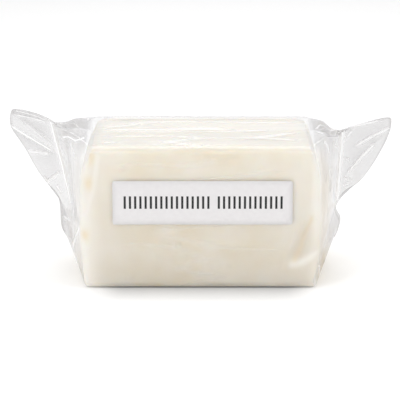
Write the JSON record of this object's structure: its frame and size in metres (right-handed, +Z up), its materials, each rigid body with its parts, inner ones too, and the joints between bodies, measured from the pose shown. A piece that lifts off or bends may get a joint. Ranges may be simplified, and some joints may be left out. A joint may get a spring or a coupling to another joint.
{
  "type": "wrapped white cheese block",
  "caption": "Block of white brined cheese sealed in clear film, with a flared ear of film at each end and a plain paper label across the front.",
  "frame": {"origin": "middle of the block's flat base", "axes": "+Z up, +X along the block towards its right-hand film ear, -Y towards the labelled front"},
  "size_m": [0.2172, 0.0787, 0.0936],
  "materials": {
    "cheese": "soft, slightly moist white curd",
    "film": "clear, glossy, creased",
    "label_paper": "smooth coated white"
  },
  "bodies": {
    "root": {"wrapped_block": "cheese", "label": "label_paper"}
  },
  "joints": []
}
